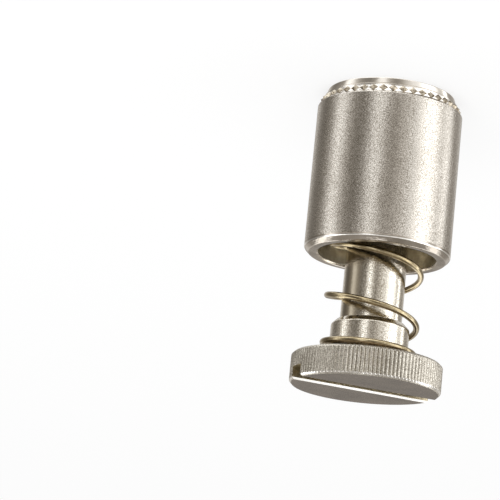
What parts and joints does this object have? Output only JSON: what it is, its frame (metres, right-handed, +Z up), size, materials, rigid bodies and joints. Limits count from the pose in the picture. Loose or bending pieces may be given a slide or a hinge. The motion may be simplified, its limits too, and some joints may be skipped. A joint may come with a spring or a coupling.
{
  "type": "captive panel screw",
  "caption": "Captive panel screw: slotted, knurled thumb screw held in a press-in retainer by a web, and lifted by a compression spring.",
  "frame": {"origin": "on the screw's axis, in the retainer's pilot face, which the part stands on", "axes": "+Z up the axis to the slotted head; +X along the driver slot"},
  "size_m": [0.0122, 0.0122, 0.0246],
  "materials": {
    "retainer_nickel": "steel, satin nickel plate",
    "screw_nickel": "steel, nickel plate over turned and knurled faces",
    "spring_wire": "drawn spring wire with a warm golden tint"
  },
  "bodies": {
    "screw": {"screw": "screw_nickel"},
    "spring": {"spring": "spring_wire"},
    "retainer": {"retainer": "retainer_nickel"}
  },
  "joints": [
    {"name": "plunge", "type": "slide", "parent": "screw", "child": "spring", "axis": [0, 0, 1], "range_m": [0, 0.0085], "stiffness_N_per_m": 500, "springref_m": -0.003, "deforming": ["spring"]},
    {"name": "spin", "type": "hinge", "parent": "spring", "child": "retainer", "pos_m": [0, 0, 0], "axis": [0, 0, 1], "continuous": true}
  ]
}
